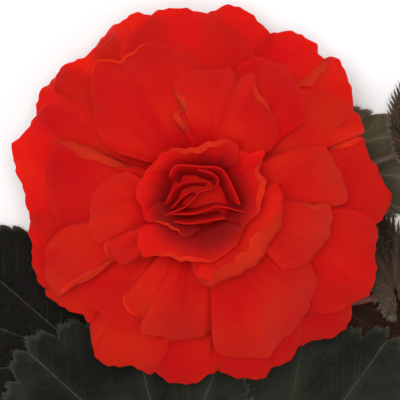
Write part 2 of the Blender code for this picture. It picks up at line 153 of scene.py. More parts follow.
# From the lowest petal up. A rim is its line seen from above.
PETALS = {
    "back_top_right": Petal(0.0, 0.5, -0.22, [], [
        (-3, 46), (0, 53), (4.8, 56.2), (9.3, 57.2), (13.5, 56), (16.5, 53), (19.5, 50.5), (21.5, 47.5),
        (23, 40)]),
    "back_low_right": Petal(0.0, 0.5, -0.15, [], [
        (46, -28), (45.8, -33), (45, -38), (43, -41.5), (38.5, -43.3), (33.5, -44.3), (29, -45.6),
        (25.5, -47.5), (21, -47)]),
    "back_top_left": Petal(0.4, 0.5, 0.5, [], [
        (-44, 31), (-43.6, 36.5), (-41, 39), (-37, 41), (-33, 43), (-30.5, 46), (-27, 49), (-22, 48)]),
    "back_left": Petal(0.8, 0.5, 0.3, [], [
        (-44, -29), (-48, -27.3), (-50, -24), (-50.8, -19), (-51.2, -13.5), (-51.5, -9), (-49, -4)]),
    "back_bottom": Petal(0.8, 0.5, 0.3, [], [
        (9, -46), (6.5, -51.5), (1.5, -54.8), (-3.8, -57.2), (-8.7, -56.6), (-13, -54.2), (-16, -50),
        (-15, -44)]),
    "right": Petal(0.9, 0.5, -0.15, [Roll(0.03, 0.30, 1.7)], [
        (36, 13), (40, 15), (44.5, 16), (48, 17.2), (50, 13.5), (52, 9.5), (54.5, 5), (56.8, 0.5),
        (57, -2.8), (55.3, -6), (52.5, -8.5), (47, -11)]),
    "top_right": Petal(1.0, 0.6, 0.0, [], [
        (15, 42), (18.5, 47), (22, 49), (26, 49.3), (30, 48.6), (33.3, 46.8), (35.2, 44.5), (35.5, 42.5),
        (37.5, 41), (39, 37), (38, 31)]),
    "upper_left": Petal(1.5, 0.6, 0.5, [], [
        (-45, 17), (-48.5, 22), (-49.7, 26), (-49, 30), (-46.5, 33), (-44, 36), (-41, 38), (-36, 38)]),
    "low_left": Petal(1.7, 0.6, 0.6, [], [
        (-29, -34), (-32.8, -38.5), (-35.5, -36.3), (-39.5, -34.6), (-44, -32.5), (-46.6, -29.5),
        (-46.5, -26), (-44, -20)]),
    "top_left": Petal(1.9, 0.6, 0.65, [], [
        (-32, 38), (-32, 43.5), (-29.8, 48), (-26.7, 50.6), (-23, 53), (-21.5, 54.6), (-18, 54.6),
        (-14.5, 54), (-10, 52), (-8, 46)]),
    "upper_right": Petal(2.0, 0.6, 0.5, [Roll(0.10, 0.46, 2.6)], [
        (25, 29), (27.5, 32), (31, 34.5), (35, 38), (38.7, 41.8), (41.5, 40), (43.8, 36), (44.7, 32),
        (45.5, 28), (45, 22)]),
    "low_right": Petal(2.2, 0.6, 0.3, [], [
        (44, -4), (50, -6.5), (53, -9.5), (52.6, -14), (52.4, -20), (52.3, -25.5), (51, -29), (47.5, -31.8),
        (43, -34.3), (38, -35.8), (33, -35)]),
    "bottom_right": Petal(2.2, 0.6, 0.15, [], [
        (30, -38), (30.3, -43), (28.5, -47.5), (25.5, -50.4), (21, -52.5), (18, -55.3), (13.5, -55.3),
        (8.5, -54.2), (4.5, -52.5), (3.2, -49), (4, -44)]),
    "left": Petal(2.5, 0.7, 0.35, [], [
        (-30, 24), (-33, 28), (-38, 28.4), (-43, 28), (-48, 26.4), (-51, 21.5), (-54.8, 17.3),
        (-56.8, 14.5), (-56.5, 10.5), (-55, 6), (-53, 0.5), (-52, -4.5), (-50.5, -9.5), (-45, -14)]),
    "top": Petal(2.8, 0.6, 0.35, [], [
        (-24.5, 41), (-23, 46.5), (-19.5, 50), (-15.5, 53.6), (-12, 55.6), (-7.8, 56.4), (-3.3, 55.6),
        (1.2, 55), (5, 53.6), (8.8, 51), (12, 48.5), (15, 45), (17, 39)]),
    "bottom_left": Petal(2.9, 0.8, 0.95, [], [
        (-10, -46), (-12.5, -51), (-15, -53.8), (-18.5, -52.6), (-22, -51.2), (-26, -51.4), (-29.3, -51),
        (-31.8, -47.5), (-33, -43), (-33, -38.5), (-31, -33)]),
    "right_point": Petal(3.3, 0.6, 0.9, [], [
        (22, 24), (23.7, 28), (26.7, 30.4), (30.5, 31.3), (35, 31), (39.5, 30), (43.2, 28.4), (46, 25.6),
        (48.2, 22), (49.3, 19.6), (48, 18), (44, 17.6), (38, 18)]),
    "middle_top_right": Petal(4.6, 0.5, 0.1, [], [
        (9, 36), (13, 40), (18, 41), (24, 39), (28.5, 34), (30.5, 28), (30, 21)]),
    "middle_low_left_under": Petal(4.6, 0.5, 0.3, [], [
        (-14, -37), (-20, -41), (-27, -38), (-33, -33.5), (-37, -29), (-37, -22)]),
    "middle_left": Petal(5.2, 0.6, 0.05, [Roll(0.0, 0.42, 3.2)], [
        (-20.5, 8.3), (-26, 10.8), (-31, 13), (-36, 14.8), (-40, 15.8), (-43.7, 16.2), (-45.6, 13),
        (-46.5, 8.5), (-46.4, 3.5), (-45.8, -2), (-44.5, -6.5), (-41, -10), (-36, -11)]),
    "middle_right": Petal(5.6, 0.7, 0.9, [], [
        (18, 10), (25, 13.4), (32, 14.5), (36, 14.6), (38.6, 12.6), (40.4, 9.5), (42.4, 5.5), (43.9, 1.5),
        (43.6, -1.3), (41, -3.2), (36, -4), (30, -5)]),
    "middle_top_left": Petal(5.8, 0.6, 0.2, [Roll(0.34, 0.66, 0.45)], [
        (-24, 12), (-29, 16), (-31.5, 22), (-32.5, 29), (-32.8, 34.5), (-31.5, 39), (-28.5, 40.4),
        (-24, 39.9), (-21.5, 41.6), (-19.5, 43), (-17.4, 45), (-12.5, 45.4), (-8.7, 44.8), (-4.8, 43.3),
        (-1.5, 40.5), (1.5, 36), (3, 30)]),
    "middle_low_left": Petal(6.0, 0.7, 1.0, [Roll(0.02, 0.42, 1.8)], [
        (-24, -17), (-28, -21), (-33, -24.6), (-38, -26.8), (-42.8, -30), (-45.6, -27), (-46.9, -23),
        (-46.8, -18), (-45, -13.5), (-41, -10.2), (-36.5, -8.6), (-32, -8), (-27, -8)]),
    "middle_bottom": Petal(6.6, 0.7, 1.0, [Roll(0.10, 0.30, 0.4)], [
        (-17, -25), (-22.8, -30.5), (-20.8, -34.5), (-17.6, -37), (-18.2, -39.5), (-16.5, -41.5),
        (-12.3, -42.4), (-8.7, -43.3), (-5, -43.3), (-1, -42.6), (3, -40), (5, -36), (4, -30)]),
    "middle_low_right": Petal(7.2, 0.9, 1.0, [], [
        (29, -15), (32.5, -20), (34.6, -25.5), (33.5, -30.5), (31.3, -35.5), (28.8, -40), (24.5, -43),
        (21.8, -46.8), (19, -48.7), (14, -48.7), (9.3, -48.4), (6, -47.8), (3.8, -44.5), (3.2, -39),
        (5, -33)]),
    "middle_top": Petal(7.5, 0.5, 0.2, [
        Roll(0.01, 0.14, 2), Roll(0.13, 0.24, 1.8), Roll(0.66, 0.82, 1.3)], [
        (-4.2, 17.5), (-7.9, 23.5), (-5.3, 25.6), (-7.2, 29.5), (-8, 33), (-4.5, 36.2), (-1, 37.1),
        (3.5, 37.6), (8.3, 37.8), (10, 36), (11.3, 34.5), (13.3, 35.8), (15.5, 35.7), (16.5, 34.2),
        (16.2, 32), (17.5, 29.2), (19.5, 26.6), (21.5, 23.5), (22.5, 17), (20, 12.5)]),
    "inner_left": Petal(8.4, 0.6, 0.7, [], [
        (-22, 7), (-27, 5), (-31, 2), (-32.8, -2.5), (-33.2, -7.5), (-32.3, -12), (-29.5, -14.8),
        (-25, -14), (-21, -11.5)]),
    "inner_right": Petal(8.5, 0.8, 1.0, [Roll(0.10, 0.36, 1.2)], [
        (25, -1), (30, -2.2), (33.5, -3.2), (37, -3), (39.2, -6), (38.4, -11), (36, -15.8), (32.7, -19),
        (29.5, -21.2), (24, -22)]),
    "inner_low_left": Petal(9.0, 0.6, 0.5, [Roll(0.3, 0.6, 0.6)], [
        (-19, -10), (-24, -12.6), (-27.6, -14.2), (-28.2, -17), (-25.5, -19.6), (-21, -20.5), (-17, -18)]),
    "inner_low_right": Petal(11.2, 0.6, 0.5, [Roll(0.12, 0.90, 4.4)], [
        (22, 4), (23.6, 0), (23.9, -5), (23, -9), (20.8, -12.8), (17.8, -17.2), (16, -20.4), (11.7, -22.6),
        (7.2, -24.8), (2.7, -26.4), (-0.5, -25.5), (-3, -20)]),
    "ring_left": Petal(12.0, 0.3, 0.1, [], [
        (-13, 10), (-16.5, 7), (-18.8, 2.5), (-19.2, -1), (-17.2, -4.8), (-15.8, -8), (-12, -10)]),
    "ring_bottom": Petal(12.4, 0.3, 0.3, [Roll(0.25, 0.72, 0.9)], [
        (-17, -9), (-18.4, -13.5), (-17, -18), (-14, -17.6), (-10, -18), (-5.6, -18.8), (0, -19.6),
        (5, -18.8), (9.5, -15.5), (13, -9)]),
    "ring_right": Petal(12.8, 0.3, 0.3, [Roll(0.40, 0.88, 1.4)], [
        (6, 14.6), (8.5, 15.6), (11.7, 12.9), (14.7, 12.4), (17.8, 12.9), (18.3, 11.2), (17, 7.5),
        (18.5, 3), (17.8, -1.5), (16.2, -5.6), (12, -9.6)]),
    "ring_top": Petal(13.2, 0.3, 0.4, [Roll(0.22, 0.82, 1.4)], [
        (-14, 7), (-12.2, 11.5), (-9.3, 13.5), (-5.7, 13.2), (0, 14.4), (4, 15.4), (8, 16.2), (10.4, 14.2),
        (11, 9)]),
    "ring_low_left": Petal(13.4, 0.2, 0.1, [Roll(0.3, 0.8, 0.4)], [
        (-13, -2), (-15.6, -5.6), (-15.7, -7.9), (-12.7, -7.6), (-10, -9), (-6.5, -11.2), (-3.9, -12.2),
        (0, -10)]),
}

# Folded petals that stand in the eye: height of the rim, then the line that the rim follows
EYE_FOLDS = [
    (44, [(-9, 5), (-7, 8.2), (-0.3, 8), (5, 7.6), (7.4, 5.2), (9.5, 0.8), (11, -2.8)]),
    (43.2, [
        (-0.8, 7.2), (2.6, 6.3), (4.6, 4.9), (4.7, 3.1), (2.7, 1.7), (-0.3, 0.7), (-2.6, -1.8),
        (-5.6, -4), (-9.6, -5.4)]),
    (42, [(-10, -2.5), (-7.4, 2), (-3, 3.8), (1.6, 3.6)]),
    (42.4, [(-8.4, -3.8), (-5.6, -0.9), (-3, 0.8), (-0.9, 0.5)]),
    (43, [
        (-12.2, -6.1), (-7.8, -5.5), (-2.6, -5.4), (1.2, -4.4), (4.2, -3.4), (7.2, -3.6), (12.2, -5)]),
    (41.6, [(-8, -7.6), (-3, -8.2), (2, -7.4), (7, -6.6)]),
]
EYE_FLOOR = 34.0
EYE_LEAN = 0.66  # size of a fold's foot beside its rim
EYE_FLARE = 0.05
EYE_FLARE_POWER = 8
EYE_WAVE = 0.5
EYE_WAVE_TURN = 9
EYE_THICKNESS = 0.42
EYE_ROWS = 26
EYE_STEPS = 14
EYE_RIM = 0.9
# painted shade in the eye folds lightens by this share towards their rims, over this stretch of their
# height
EYE_SHADE_LIFT = 0.62
EYE_SHADE_LIFT_BAND = (0.5, 1)

# Radius and height of the receptacle's rings
HEART = [(5, 17.7), (10, 18.2), (12.8, 20.5), (13, 26), (12, 32), (9, 35.5), (5, 36.4), (0.4, 36.6)]
HEART_SIDES = 64


def place(points):
    """Millimetres round the bloom's axis to metres in the frame."""
    return (np.asarray(points, float) + (AXIS_X, AXIS_Y, 0)) * MM


def grid_faces(rows, columns, offset, flip):
    i, j = np.meshgrid(np.arange(rows - 1), np.arange(columns - 1), indexing="ij")
    a = (i * columns + j).ravel() + offset
    b, c, d = a + 1, a + columns + 1, a + columns
    return np.stack([a, d, c, b] if flip else [a, b, c, d], axis=1)


def tube_faces(rings, sides):
    """The skin over rings of points, and a fan at each end to a point that follows all the rings."""
    faces = []
    for i in range(rings - 1):
        for k in range(sides):
            a, b = i * sides + k, i * sides + (k + 1) % sides
            faces.append((a, b, b + sides, a + sides))
    count = rings * sides
    last = count - sides
    for k in range(sides):
        after = (k + 1) % sides
        faces.append((count, after, k))
        faces.append((count + 1, last + k, last + after))
    return faces


def add_object(name, data):
    made = bpy.data.objects.new(name, data)
    bpy.context.scene.collection.objects.link(made)
    return made


def new_piece(name, points, faces, look, values=None):
    """A smooth mesh piece that rides with the shoot; values are named numbers on its points."""
    mesh = bpy.data.meshes.new(name)
    mesh.from_pydata([tuple(p) for p in points], [], [tuple(int(v) for v in f) for f in faces])
    mesh.update()
    mesh.shade_smooth()
    mesh.materials.append(look)
    for key, numbers in (values or {}).items():
        made = mesh.attributes.new(key, "FLOAT", "POINT")
        made.data.foreach_set("value", np.asarray(numbers, np.float32).ravel())
    piece = add_object(name, mesh)
    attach(piece, "root")
    return piece


def grid_normals(grid):
    """Unit normals at a grid's points, upward on the whole, and whether that turned them over."""
    facing = np.cross(np.gradient(grid, axis=0), np.gradient(grid, axis=1))
    facing /= np.maximum(np.linalg.norm(facing, axis=2, keepdims=True), TINY)
    flipped = facing[..., 2].mean() < 0
    return (-facing if flipped else facing), flipped


def sheet(name, grid, thickness, look, values):
    """A closed thin sheet over a grid of points in millimetres, thickness given at each point."""
    rows, columns = grid.shape[:2]
    count = rows * columns
    facing, flipped = grid_normals(grid)
    half = 0.5 * np.broadcast_to(thickness, (rows, columns))[..., None]
    upper, lower = grid + half * facing, grid - half * facing
    points = place(np.concatenate([upper.reshape(-1, 3), lower.reshape(-1, 3)]))
    index = np.arange(count).reshape(rows, columns)
    rim = np.concatenate([index[0], index[1:, -1], index[-1, -2::-1], index[-2:0:-1, 0]])
    after = np.roll(rim, -1)
    sides = np.stack([rim, after, after + count, rim + count], axis=1)
    faces = [grid_faces(rows, columns, 0, not flipped), grid_faces(rows, columns, count, flipped)]
    faces.append(sides[:, ::-1] if flipped else sides)
    both = {key: np.concatenate([np.ravel(v), np.ravel(v)]) for key, v in values.items()}
    return new_piece(name, points, np.concatenate(faces), look, both)


def smooth_line(points, steps):
    """A curve through all the points, with so many steps between one and the next."""
    ends = [points[0], *points, points[-1]]
    line = []
    for k in range(len(points) - 1):
        before, start, end, after = (np.array(p, float) for p in ends[k : k + 4])
        for step in range(steps):
            t = step / steps
            curve = 2 * start + (end - before) * t
            curve = curve + (2 * before - 5 * start + 4 * end - after) * t**2
            curve = curve + (3 * start - before - 3 * end + after) * t**3
            line.append(0.5 * curve)
    line.append(np.array(points[-1], float))
    return np.array(line)


def even_line(points, count):
    """The smooth line through the points, at evenly spaced places, and how far along each one is."""
    line = smooth_line(points, RIM_STEPS)
    run = np.concatenate([[0], np.cumsum(np.linalg.norm(np.diff(line, axis=0), axis=1))])
    places = np.linspace(0, run[-1], count)
    return np.stack([np.interp(places, run, values) for values in line.T], axis=1), places


def smooth_step(value, low, high):
    share = np.clip((value - low) / (high - low), 0, 1)
    return share * share * (3 - 2 * share)


def even_out(values, rounds):
    """Blends each value with the two beside it, in place; the first and the last stay."""
    for _ in range(rounds):
        values[1:-1] = 0.25 * values[:-2] + 0.5 * values[1:-1] + 0.25 * values[2:]


# Petals


def back_height(radius):
    return BACK_HEIGHT + BACK_ARCH * (1 - ((radius - ARCH_RADIUS) / (BLOOM_REACH - ARCH_RADIUS)) ** 2)


def bowl_height(radius, level):
    rise = BOWL_DEPTH * (1 - np.exp(-((radius / BOWL_RADIUS) ** BOWL_POWER)))
    return back_height(radius) + level / LEVELS * rise


def swell(x, y):
    """Soft waves shared by all the petals, so that they ripple together without touching."""
    radius = np.hypot(x, y)
    turn = np.arctan2(y, x)
    share, along_x, along_y, start = SLANTED_WAVE
    waves = sum(s * np.sin(count * turn + outward * radius + t) for s, count, outward, t in ROUND_WAVES)
    waves += share * np.sin(along_x * x + along_y * y + start)
    return SWELL * waves * np.minimum(radius / BLOOM_REACH, 1) ** SWELL_POWER


class Stack:
    """The height of the petals laid so far, on a square grid seen from above."""

    def __init__(self):
        self.count = int(2 * STACK_HALF / STACK_STEP) + 1
        self.height = np.zeros((self.count, self.count))

    def cells(self, x, y):
        last = self.count - GRID_END
        i = np.clip((x + STACK_HALF) / STACK_STEP, 0, last)
        j = np.clip((y + STACK_HALF) / STACK_STEP, 0, last)
        return i, j

    def lay(self, grid):
        for share_i in STACK_SHARES:
            for share_j in STACK_SHARES:
                rows = grid[:-1] * (1 - share_i) + grid[1:] * share_i
                part = rows[:, :-1] * (1 - share_j) + rows[:, 1:] * share_j
                i, j = self.cells(part[..., 0], part[..., 1])
                np.maximum.at(self.height, (i.round().astype(int), j.round().astype(int)), part[..., 2])

    def soft(self):
        """The stack with its steps rounded off, so that a petal lies over them in one sweep."""
        made = self.height.copy()
        for _ in range(STACK_GROWTH):
            grown = made.copy()
            for axis in (0, 1):
                for way in (1, -1):
                    grown = np.maximum(grown, np.roll(made, way, axis))
            made = grown
        for _ in range(STACK_ROUNDS):
            for axis in (0, 1):
                made = 0.25 * np.roll(made, 1, axis) + 0.5 * made + 0.25 * np.roll(made, -1, axis)
        return made

    def read(self, field, x, y):
        i, j = self.cells(x, y)
        a, b = i.astype(int), j.astype(int)
        s, t = i - a, j - b
        low = field[a, b] * (1 - t) + field[a, b + 1] * t
        high = field[a + 1, b] * (1 - t) + field[a + 1, b + 1] * t
        return low * (1 - s) + high * s


def root_line(rim, level):
    """The arc on the receptacle that a petal springs from, and which way round its rim runs."""
    middle = rim.mean(axis=0)
    facing = math.atan2(middle[1], middle[0])
    spread = np.arctan2(rim[:, 1], rim[:, 0]) - facing
    spread = (spread + np.pi) % (2 * np.pi) - np.pi
    side = 1 if spread[-1] > spread[0] else -1
    turn = facing + side * math.radians(ROOT_HALF_TURN) * np.linspace(-1, 1, COLUMNS)
    radius = OUTER_ROOT + (INNER_ROOT - OUTER_ROOT) * smooth_step(level, *ROOT_LEVELS)
    return radius * np.stack([np.cos(turn), np.sin(turn)], axis=1), side


def notched(rim, run, share, phase):
    """The rim with notches, which fade towards its two ends."""
    fade = np.sqrt(np.sin(np.pi * share))
    notch = sum(depth * np.sin(2 * np.pi * run / length + k * phase) for depth, length, k in NOTCHES)
    outward = rim / np.linalg.norm(rim, axis=1, keepdims=True)
    return rim + (fade * (notch - NOTCH_INSET))[:, None] * outward


def rest_on(below, height, level, out):
    """Brings a rim down towards the petals below it, and keeps the whole petal above them."""
    gap = np.maximum(height[-1] - below[-1], 0.0)
    gap = np.where(below[-1] > BARE_HEIGHT, gap, BARE_GAP)
    even_out(gap, GAP_ROUNDS)
    rest = REST_SHARE + (RING_REST_SHARE - REST_SHARE) * smooth_step(level, *REST_LEVELS)
    height = height - rest * gap[None, :] * out**REST_POWER
    return below + np.logaddexp(0.0, CONTACT * (height - below)) / CONTACT


def petal_grid(petal, phase, stack):
    """A petal's sheet of points from root to rim, with out, across and fold at each point."""
    line, run = even_line(petal.rim, COLUMNS)
    share = run / run[-1]
    root, side = root_line(line, petal.level)
    rim = notched(line, run, share, phase)
    out = 1 - (1 - np.linspace(0, 1, ROWS)) ** ROW_POWER
    out, across = np.meshgrid(out, 2 * share - 1, indexing="ij")
    flat = root[None] + out[..., None] * (rim - root)[None]
    x, y = flat[..., 0], flat[..., 1]
    height = bowl_height(np.hypot(x, y), petal.level) + swell(x, y)
    for part, power, length, start in RIM_WAVES:
        height += part * petal.wave * out**power * np.sin(2 * np.pi * run / length + phase + start)
    height += BUCKLE.height * np.sin(np.pi * out) * np.sin(BUCKLE.turn * across + BUCKLE.phase * phase)
    sway = PLEAT_SWAY * np.sin(PLEAT_SWAY_TURN * across)
    pleat = np.sin(PLEAT.turn * across + PLEAT.phase * phase + sway)
    pleat = PLEAT.height * out * (1 - out**PLEAT_POWER) * pleat
    below = stack.read(stack.soft(), x, y) + CLEARANCE
    height = rest_on(below, height, petal.level, out) + pleat
    grid = np.stack([x, y, height], axis=2)
    fold = np.zeros(out.shape)
    if petal.rolls:
        grid, fold = fold_back(petal, grid, side, share, phase)
        out, across = pad_rows(out), pad_rows(across)
    return grid, out, across, fold


def pad_rows(values):
    return np.concatenate([values, np.repeat(values[-1:], FOLD_ROWS, axis=0)])


def fold_width(rolls, share, phase):
    """How much of a fold each point of a rim has, from 0 to 1, and how wide the fold is there."""
    amount = np.zeros(len(share))
    width = np.zeros(len(share))
    for roll in rolls:
        along = np.clip((share - roll.start) / (roll.end - roll.start), 0, 1)
        lens = np.sin(np.pi * along) ** FOLD_TAPER
        amount = np.maximum(amount, lens)
        width = np.maximum(width, lens * roll.width)
    return amount, width * (1 + RAGGED * np.sin(RAGGED_TURN * share + phase))


def fold_back(petal, grid, side, share, phase):
    """Carries the sheet on past its rim, and where a roll is, up and back over the petal."""
    rim = grid[-1]
    ahead = np.gradient(rim[:, :2], axis=0)
    even_out(ahead, HEADING_ROUNDS)
    ahead /= np.linalg.norm(ahead, axis=1, keepdims=True)
    inward = side * np.stack([-ahead[:, 1], ahead[:, 0]], axis=1)
    amount, width = fold_width(petal.rolls, share, phase)
    radius = FOLD_RADIUS * amount
    cover = Stack()
    cover.lay(grid)
    rows, folds = [], []
    for k in range(1, FOLD_ROWS + 1):
        along = k / FOLD_ROWS * (np.pi * radius + width)
        angle = np.minimum(along / np.maximum(radius, TINY), np.pi)
        flat = np.maximum(along - np.pi * radius, 0)
        reach = np.where(amount > FOLD_START, radius * np.sin(angle) - flat, 0.0)
        reach = reach + (1 - amount) * RIM_OVERRUN * k / FOLD_ROWS
        lift = radius * (1 - np.cos(angle)) + FOLD_SLOPE * flat
        spot = rim[:, :2] - inward * reach[:, None]
        over = cover.read(cover.height, spot[:, 0], spot[:, 1]) + FOLD_CLEARANCE * amount
        height = np.where(flat > 0, np.maximum(rim[:, 2] + lift, over), rim[:, 2] + lift)
        rows.append(np.column_stack([spot, height]))
        folds.append(amount * min(1.0, k / FOLD_BLEND_ROWS))
    fold = np.concatenate([np.zeros(grid.shape[:2]), np.array(folds)])
    return np.concatenate([grid, np.array(rows)]), fold


def make_petals(look):
    draw = random.Random(SEED)
    stack = Stack()
    for name, petal in PETALS.items():
        phase = draw.uniform(0, 2 * math.pi)
        grid, out, across, fold = petal_grid(petal, phase, stack)
        stack.lay(grid)
        thickness = RIM_THICKNESS + (PETAL_THICKNESS - RIM_THICKNESS) * (1 - out**THINNING_POWER)
        # painted light: an orange painted highlight towards the rim, and painted shade on the ring petals,
        # deepest at the eye, and on petals of negative light; folds take no painted shade
        warm = petal.warmth * smooth_step(out, *HIGHLIGHT_BAND) * (1 - SIDE_HIGHLIGHT_FADE * np.abs(across))
        inward = 1 - smooth_step(np.hypot(grid[..., 0], grid[..., 1] - EYE_CENTRE_Y), *EYE_SHADE_BAND)
        deep_tone_and_shade = smooth_step(petal.level, *RING_LEVELS) * (RING_SHADE + (1 - RING_SHADE) * inward)
        deep_tone_and_shade = deep_tone_and_shade + max(0.0, -petal.warmth)
        values = {"rim": out, "across": across + LINE_PHASE * phase, "fold": fold, "warm": warm}
        values["deep_tone_and_shade"] = deep_tone_and_shade * (1 - fold)
        piece = sheet("petal_" + name, grid, thickness, look, values)
        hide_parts("bloom")


def make_eye_folds(look):
    for number, (height, line) in enumerate(EYE_FOLDS):
        rim = smooth_line(line, EYE_STEPS)
        run = np.linspace(0, 1, len(rim))
        wave = EYE_WAVE * np.sin(EYE_WAVE_TURN * run + number)
        levels = np.linspace(0, 1, EYE_ROWS)
        lean = EYE_LEAN + (1 - EYE_LEAN) * levels + EYE_FLARE * levels**EYE_FLARE_POWER
        grid = np.zeros((len(levels), len(rim), 3))
        grid[..., :2] = lean[:, None, None] * rim[None, :, :]
        grid[..., 2] = EYE_FLOOR + (height + wave[None, :] - EYE_FLOOR) * levels[:, None]
        out, across = np.meshgrid(levels, run, indexing="ij")
        values = {"rim": EYE_RIM * out, "across": across, "fold": 0 * out, "warm": 0 * out}
        # painted shade deep in the eye, lighter towards the folds' rims
        values["deep_tone_and_shade"] = 1 - EYE_SHADE_LIFT * smooth_step(out, *EYE_SHADE_LIFT_BAND)
        piece = sheet(f"eye_petal_{number}", grid, EYE_THICKNESS, look, values)
        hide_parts("bloom")


def make_heart(look):
    """The receptacle that carries the petals, hidden under them."""
    turn = np.linspace(0, 2 * np.pi, HEART_SIDES, endpoint=False)
    circle = np.stack([np.cos(turn), np.sin(turn)], axis=1)
    rings = [np.column_stack([radius * circle, np.full(HEART_SIDES, height)]) for radius, height in HEART]
    ends = [(0, 0, HEART[0][1]), (0, 0, HEART[-1][1])]
    points = np.concatenate([*rings, ends])
    values = {key: np.zeros(len(points)) for key in ("rim", "across", "fold", "warm")}
    # painted shade on the receptacle
    values["deep_tone_and_shade"] = np.full(len(points), HEART_SHADE)
    piece = new_piece("receptacle", place(points), tube_faces(len(HEART), HEART_SIDES), look, values)
    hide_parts("bloom")


# Stem and leaves, in millimetres; the lines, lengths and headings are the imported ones

# Points of each stalk: place and radius
STEMS = {
    "stem_main": [
        (14, -146, 3.9, 4.6), (10, -128, 3.9, 4.5), (5, -108, 3.9, 4.7), (2, -92, 3.7, 4.2),
        (0.5, -70, 3.6, 4.1), (0, -48, 3.5, 4), (0, -30, 3.5, 3.9), (0.2, -17, 4.4, 3.7),
        (0.2, -7, 7.4, 3.5), (0, -1, 12, 3.7), (0, 0, 16.7, 4.3)],
    "stalk_lower_left": [
        (4, -105, 4.4, 2.6), (-1, -101, 6, 2.3), (-6, -95, 6.3, 2), (-9, -88.5, 6.2, 1.8)],
    "stalk_lower_right": [
        (5, -112, 4.4, 2.6), (12, -108, 5.6, 2.3), (19, -101, 5.9, 2), (22, -93.5, 5.4, 1.8)],
    "stalk_left": [(0, -60, 3.4, 2.4), (-10, -60, 2.8, 2), (-21, -56, 2.3, 1.7), (-31, -52, 2.3, 1.5)],
    "stalk_right": [(0, -47, 3.4, 2.4), (12, -36, 2.8, 2), (25, -28, 1.9, 1.6), (36, -30.8, 1.9, 1.3)],
    "stalk_upper_right": [(0, -32, 3.4, 2.4), (3, -14, 2.6, 2), (5, 5, 2.2, 1.6), (13, 8.8, 2.1, 1.3)],
    "stalk_young_upper": [
        (0.5, -20, 4.4, 1.9), (14, -9, 8.2, 1.5), (38, 4, 9.2, 1.3), (63, 13.5, 9.4, 1.1)],
    "stalk_young_right": [
        (0, -40, 3.6, 1.9), (20, -36, 6.2, 1.5), (42, -33, 8.2, 1.4), (58, -30, 9.2, 1.1)],
}
STEM_LOOKS = {"stalk_young_upper": "young_stem"}
STEM_SIDES = 28
STEM_STEPS = 14
UPRIGHT = 0.2  # a stalk steeper than this has no level of its own
STEM_RIB = 0.02
STEM_RIBS = 6
STEM_KNOT = 0.03
STEM_KNOT_TURN = 40
STEM_KNOT_START = 2

# A leaf's outline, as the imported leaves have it
SINUS = 150.0  # the blade runs this far round from its tip, leaving a notch for the stalk
BACK_LOBE = 0.30
LOBE_POWER = 1.1
TIP_POINT = 0.07
TIP_WIDTH = 9.0
HUMP_WIDTH = 15.0
HUMP_POWER = 6

# Its teeth and lobes: how much of leaf.tooth each takes, on grown leaves and on young ones
GROWN_TOOTH = 0.45
GROWN_LOBE = 0.42
YOUNG_FINGER = 1.3
YOUNG_LOBE = 0.3
LOBES_PER_TOOTH = 2
LOBE_ROUNDING = 0.7
LOBE_DRIFT = 0.06
LOBE_DRIFT_TURN = 5.3
FINGERS_PER_TOOTH = 3
FINGER_START = 0.3
TOOTH_POWER = 8  # the higher, the closer to the margin the teeth stay

# Its blade
LEAF_THICKNESS = 0.45
LEAF_ROW_POWER = 0.75  # rows stand closer together towards the margin
LEAF_START = 1.2  # where the blade starts, from its stalk's end
LOWEST = 0.3
DROOP_POWER = 1.3
LEAF_WAVE_TURN = 8.0
LEAF_WAVE_POWER = 3
VEIN_SPACING = 6.5
VEIN_SLANT = 1.1
VEIN_TURNS = [-138, -105, -70, -34, 0, 34, 70, 105, 138]
PUCKER = 0.5  # how far the blade bulges between its veins
PUCKER_WIDTH = 2.2
PUCKER_RIPPLE = 0.4
PUCKER_START = 3
PUCKER_END_POWER = 10

# Its hairs, along the margin and on the face
ASIDE = (0.31, 0.52, 0.79)  # a way that hardly any hair points
MARGIN_ROWS = 3
MARGIN_SPREAD = 0.35
MARGIN_LIFT = 0.5
MARGIN_LENGTHS = (0.3, 1)
FACE_SPREAD = 0.7
FACE_LENGTHS = (0.25, 0.6)
BARE_PART = 4  # the face has no hair on the innermost of so many parts
ROOT_RISE = 0.4  # of the blade's thickness

Age = namedtuple("Age", "grid hair_radius hair_length margin_hairs face_hairs")
GROWN = Age((30, 481), 0.045, 1.5, 1500, 500)
YOUNG = Age((24, 211), 0.07, 2.3, 1000, 450)

# Heading in degrees; sides and tooth are shares of the reach, and teeth are counted on each side;
# droop_to is the margin's height, over_stem the blade's where it crosses the stem, fold its sides' slope
Leaf = namedtuple(
    "Leaf", "base heading length left_side right_side teeth tooth droop_to wave over_stem fold")
LEAVES = {
    "leaf_lower_left": Leaf((-9, -87, 9.6), 138, 57, 0.9, 0.98, 15, 0.055, 7.2, 0.7, 11, 0),
    "leaf_lower_right": Leaf((22, -92, 8.2), 54, 57, 0.7, 0.9, 15, 0.055, 5.6, 0.4, 9, 0),
    "leaf_left": Leaf((-32, -51.5, 4.7), 160, 78, 0.62, 0.56, 15, 0.055, 0.45, 0.5, 0, 0),
    "leaf_right": Leaf((37, -31, 4.7), -14, 56, 0.48, 0.5, 12, 0.055, 0.45, 0.5, 0, 0),
    "leaf_upper_right": Leaf((14, 9, 5.2), -4, 68, 0.42, 0.3, 15, 0.055, 0.45, 0.5, 0, 0),
    "young_leaf_upper": Leaf((64, 14, 11.2), 100, 17, 0.46, 0.46, 7, 0.09, 9.6, 0.3, 0, 0.55),
    "young_leaf_right": Leaf((59, -29.5, 11), 104, 24, 0.42, 0.42, 7, 0.09, 9.4, 0.3, 0, 0.55),
}
# the upper right leaf takes a lit copy of the leaf colours, as painted light
LEAF_LOOKS = {"leaf_upper_right": "leaf_painted_lit", "leaf_left": "leaf_dark"}


def stem_line_x(y):
    line = sorted((p[1], p[0]) for p in STEMS["stem_main"][:-1])
    return np.interp(y, *zip(*line))


